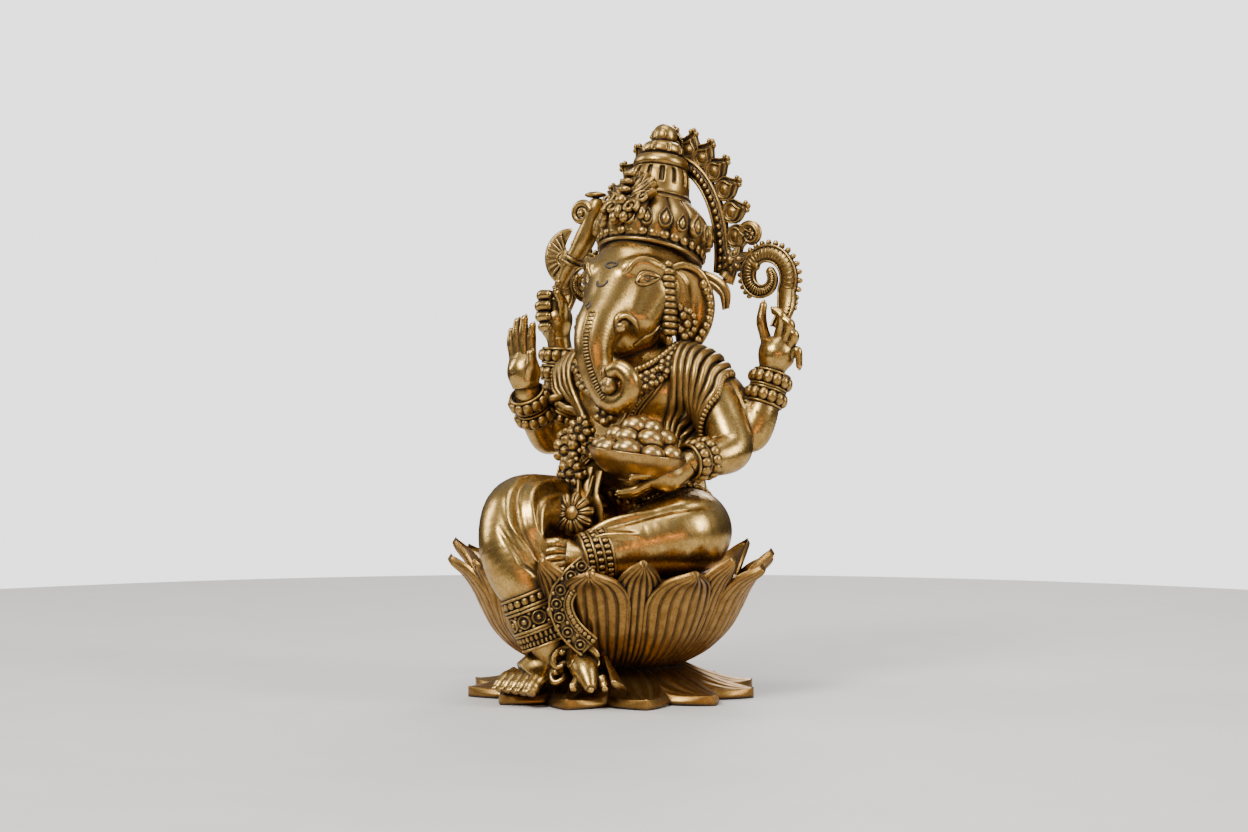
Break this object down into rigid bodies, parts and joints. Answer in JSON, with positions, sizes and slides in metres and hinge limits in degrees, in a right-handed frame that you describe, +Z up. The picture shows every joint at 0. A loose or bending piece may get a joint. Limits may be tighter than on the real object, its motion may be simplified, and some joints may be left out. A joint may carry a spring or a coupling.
{
  "type": "seated deity figurine",
  "caption": "Seated four-armed elephant-headed figure in antique brass on a lotus cup and petal base, with tall crown, arch, axe, bowl of sweets and mouse.",
  "frame": {"origin": "middle of the flat face under the base plate, on the axis of the lotus cup", "axes": "+Z up, the figure's front faces -Y and its own left hand side is +X"},
  "size_m": [0.0917, 0.0894, 0.164],
  "materials": {
    "brass_body": "polished",
    "brass_ornament": "satin",
    "brass_highlight": "polished"
  },
  "bodies": {
    "root": {"base_plate": "brass_body", "lotus_cup": "brass_body", "cup_petals_outer": "brass_body", "cup_petals_inner": "brass_ornament", "torso": "brass_body", "head": "brass_body", "trunk": "brass_body", "tusk_left": "brass_highlight", "tusk_right": "brass_highlight", "ear_left": "brass_body", "ear_right": "brass_body", "ear_rope_left": "brass_body", "ear_rope_right": "brass_body", "crown_band": "brass_body", "crown_flare": "brass_body", "crown_drum": "brass_body", "crown_finial": "brass_body", "crown_crest": "brass_ornament", "arch": "brass_ornament", "scroll_left": "brass_ornament", "scroll_right": "brass_ornament", "axe": "brass_body", "arm_front_left": "brass_body", "arm_front_right": "brass_body", "arm_rear_left": "brass_body", "arm_rear_right": "brass_body", "hand_front_left": "brass_body", "hand_front_right": "brass_body", "hand_rear_left": "brass_body", "hand_rear_right": "brass_body", "bracelet_front_left": "brass_body", "bracelet_front_right": "brass_body", "bracelet_rear_left": "brass_body", "bracelet_rear_right": "brass_body", "armlet_right": "brass_ornament", "necklace": "brass_ornament", "sacred_thread": "brass_body", "shawl": "brass_body", "garland": "brass_body", "flower_pendant": "brass_body", "bowl": "brass_body", "sweets": "brass_highlight", "held_sweet": "brass_highlight", "belt": "brass_ornament", "leg_left": "brass_body", "leg_right": "brass_body", "foot_left": "brass_body", "foot_right": "brass_body", "anklet_left": "brass_ornament", "anklet_right": "brass_ornament", "sash_band": "brass_ornament", "mouse": "brass_body"}
  },
  "joints": []
}
